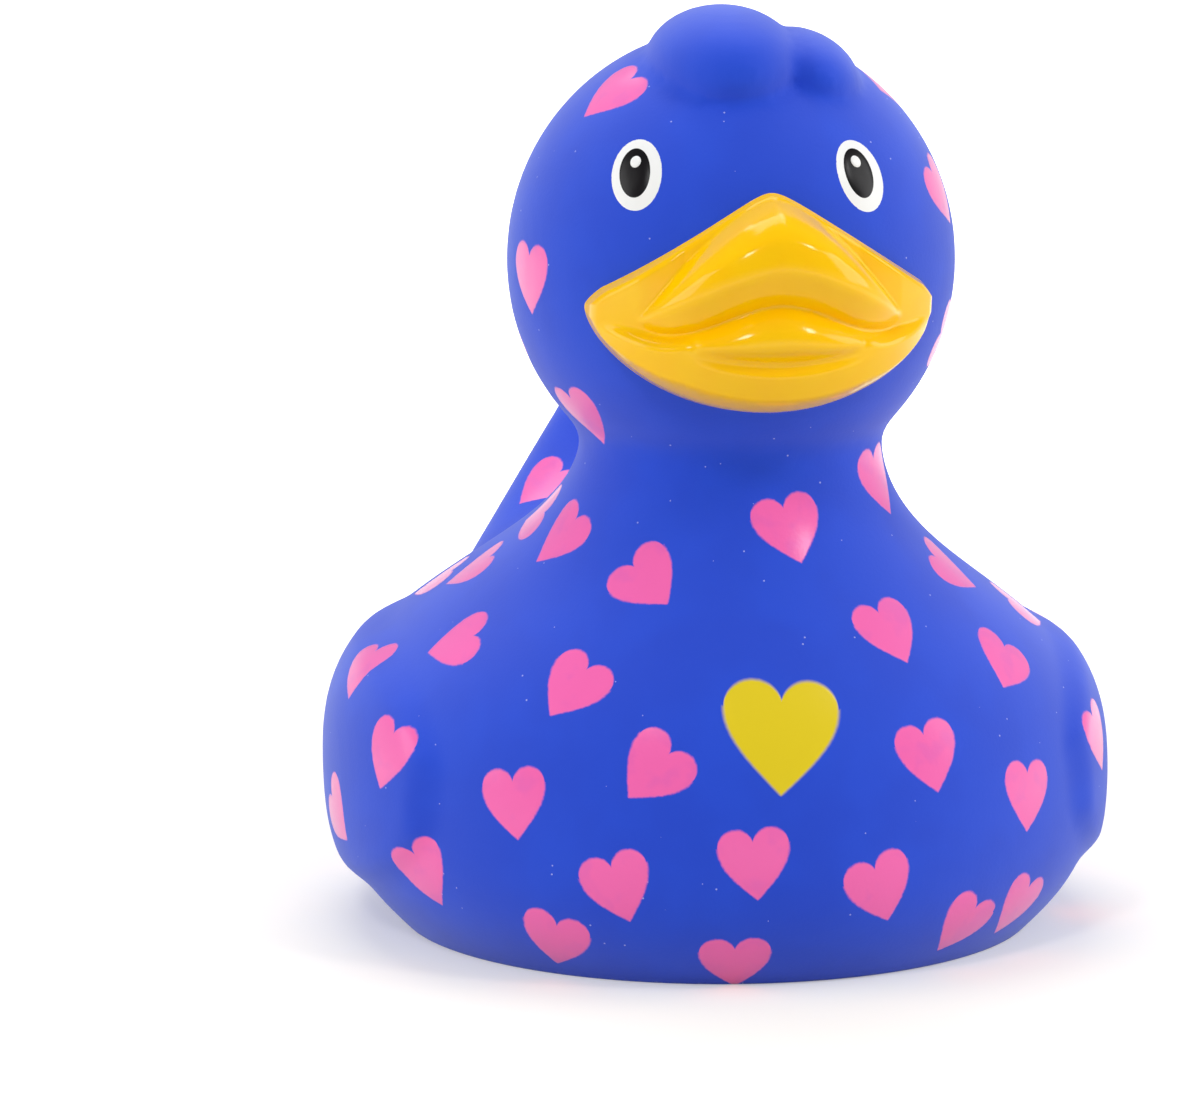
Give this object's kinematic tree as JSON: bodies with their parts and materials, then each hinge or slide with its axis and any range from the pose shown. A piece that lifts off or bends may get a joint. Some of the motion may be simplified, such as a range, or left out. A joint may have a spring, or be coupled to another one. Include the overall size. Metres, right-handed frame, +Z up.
{
  "type": "rubber duck",
  "caption": "Hollow moulded vinyl bath duck with raised wings, an upswept tail, a crest and a wide bill, printed with hearts.",
  "frame": {"origin": "on the flat underside, below the middle of the body", "axes": "+Z up from the underside through the head, -Y the way the duck faces, +X to the duck's left"},
  "size_m": [0.078, 0.0886, 0.0912],
  "materials": {
    "painted_vinyl": "soft matte blue vinyl with sprayed pink hearts, a gloss yellow bill and gloss black and white eyes"
  },
  "bodies": {
    "root": {"duck_body": "painted_vinyl"}
  },
  "joints": []
}
